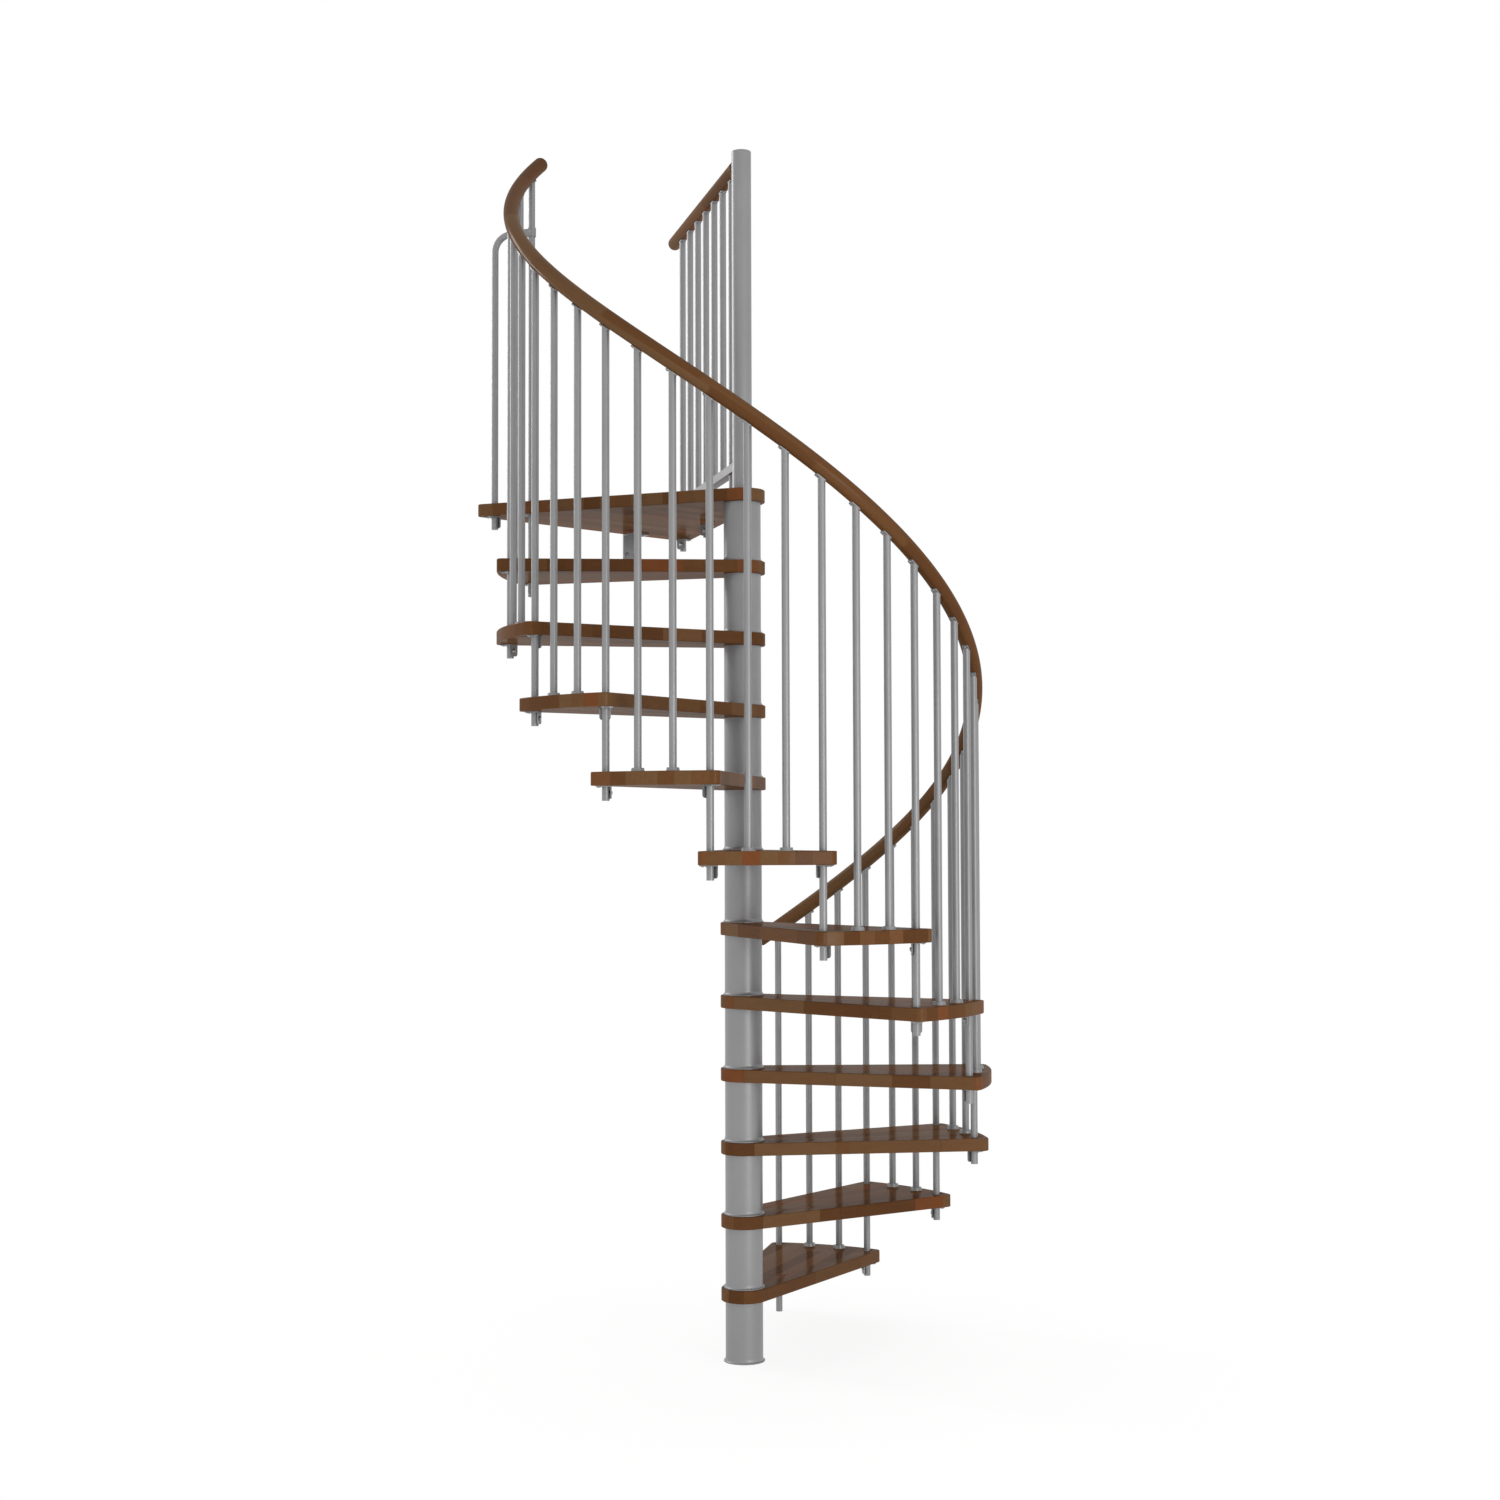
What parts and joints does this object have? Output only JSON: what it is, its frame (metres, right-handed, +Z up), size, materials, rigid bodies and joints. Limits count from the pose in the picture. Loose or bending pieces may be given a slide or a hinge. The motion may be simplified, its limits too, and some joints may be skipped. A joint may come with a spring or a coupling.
{
  "type": "spiral staircase",
  "caption": "Spiral staircase with wooden wedge treads and spacer tubes on a newel pole, tube balusters, a helical wooden handrail and a three-cornered landing with its own rail.",
  "frame": {"origin": "newel axis on the floor, at the centre of the floor flange's lower face", "axes": "+Z up along the newel; +Y square to the landing's far edge, towards the upper floor; the flight climbs clockwise seen from above"},
  "size_m": [1.4, 1.5062, 3.5227],
  "materials": {
    "stained_wood": "brown stain under satin varnish",
    "grey_steel": "silver-grey powder coat"
  },
  "bodies": {
    "root": {"tread_01": "stained_wood", "tread_02": "stained_wood", "tread_03": "stained_wood", "tread_04": "stained_wood", "tread_05": "stained_wood", "tread_06": "stained_wood", "tread_07": "stained_wood", "tread_08": "stained_wood", "tread_09": "stained_wood", "tread_10": "stained_wood", "tread_11": "stained_wood", "spacer_tube_01": "grey_steel", "spacer_tube_02": "grey_steel", "spacer_tube_03": "grey_steel", "spacer_tube_04": "grey_steel", "spacer_tube_05": "grey_steel", "spacer_tube_06": "grey_steel", "spacer_tube_07": "grey_steel", "spacer_tube_08": "grey_steel", "spacer_tube_09": "grey_steel", "spacer_tube_10": "grey_steel", "spacer_tube_11": "grey_steel", "spacer_tube_12": "grey_steel", "landing": "stained_wood", "floor_flange": "grey_steel", "newel_pole": "grey_steel", "pole_cap": "grey_steel", "handrail": "stained_wood", "handrail_saddles": "grey_steel", "through_balusters": "grey_steel", "short_balusters": "grey_steel", "baluster_collars": "grey_steel", "tread_brackets": "grey_steel", "corner_tube": "grey_steel", "corner_clamp": "grey_steel", "upper_floor_bracket": "grey_steel", "landing_rail": "stained_wood", "landing_posts": "grey_steel", "landing_balusters": "grey_steel", "landing_bottom_bar": "grey_steel", "landing_saddles": "grey_steel", "landing_brackets": "grey_steel"}
  },
  "joints": []
}
